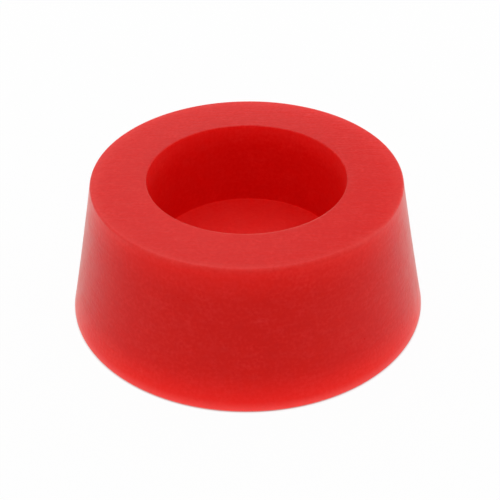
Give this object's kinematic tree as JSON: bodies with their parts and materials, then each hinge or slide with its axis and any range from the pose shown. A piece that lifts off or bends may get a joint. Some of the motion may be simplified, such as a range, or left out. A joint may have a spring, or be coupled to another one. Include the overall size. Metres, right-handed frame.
{
  "type": "rubber stopper",
  "caption": "Tapered silicone rubber stopper that stands on its wide end, with a round blind recess in the narrow end, for closing the neck of a vessel.",
  "frame": {"origin": "centre of the wide end, on the face that the stopper stands on", "axes": "+Z along the axis of the cone, from the wide end to the narrow end; X and Y are alike, because the form is one of revolution"},
  "size_m": [0.0638, 0.0638, 0.0254],
  "materials": {
    "silicone": "satin"
  },
  "bodies": {
    "root": {"stopper": "silicone"}
  },
  "joints": []
}
